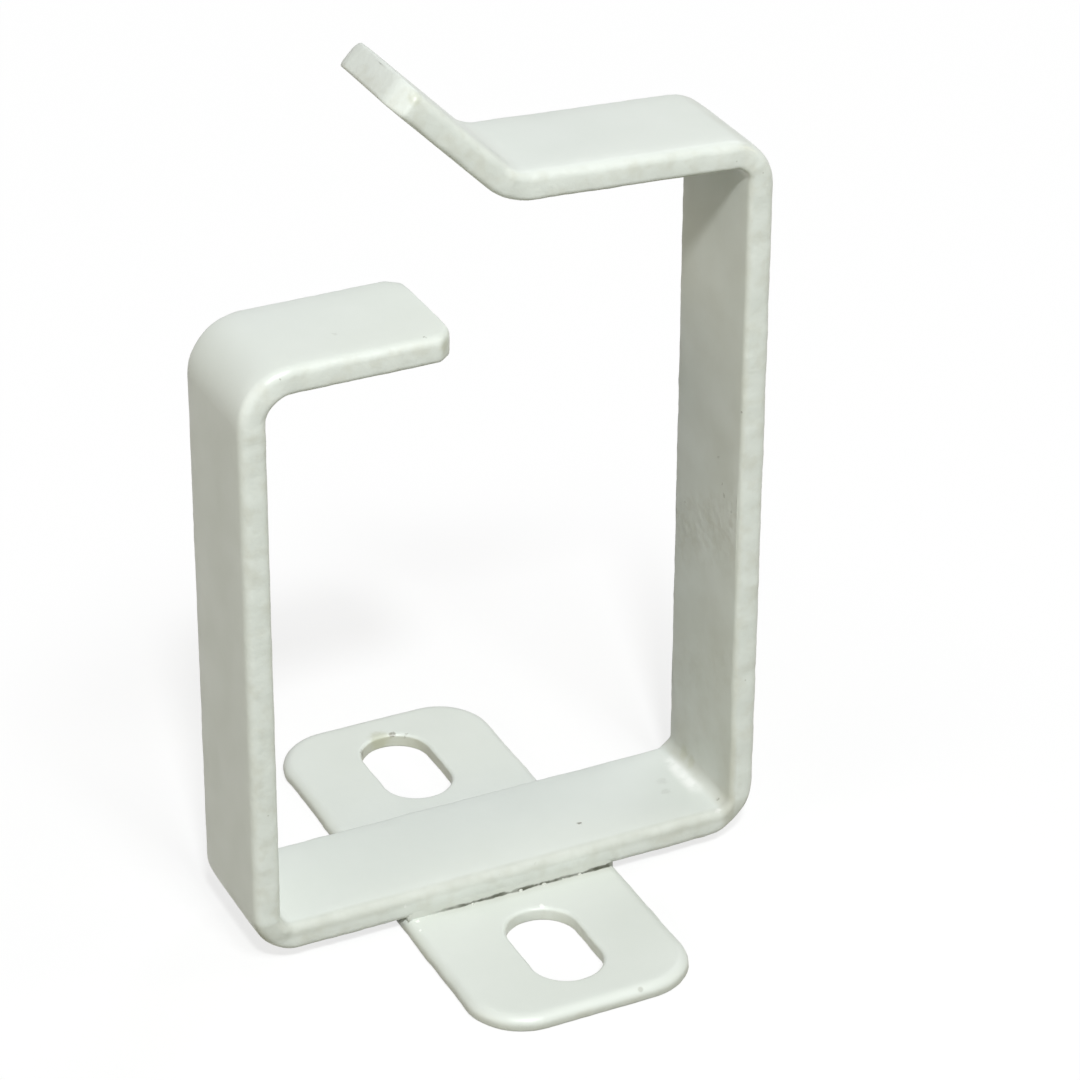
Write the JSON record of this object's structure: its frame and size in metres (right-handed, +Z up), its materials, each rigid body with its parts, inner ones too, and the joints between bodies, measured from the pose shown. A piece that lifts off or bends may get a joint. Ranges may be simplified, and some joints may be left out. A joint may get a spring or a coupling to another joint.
{
  "type": "cable management bracket",
  "caption": "Open hoop of bent flat bar on a slotted foot plate, with a mouth under a raised lip, for guiding cable bundles along a frame or wall.",
  "frame": {"origin": "middle of the foot plate's underside", "axes": "+Z up out of the foot plate, +X along the hoop's bottom run towards the tall side, +Y along the foot plate"},
  "size_m": [0.0608, 0.063, 0.0998],
  "materials": {
    "powder_coat": "light grey semi-gloss powder coat on steel"
  },
  "bodies": {
    "root": {"bent_bar_hoop": "powder_coat", "slotted_foot_plate": "powder_coat"}
  },
  "joints": []
}
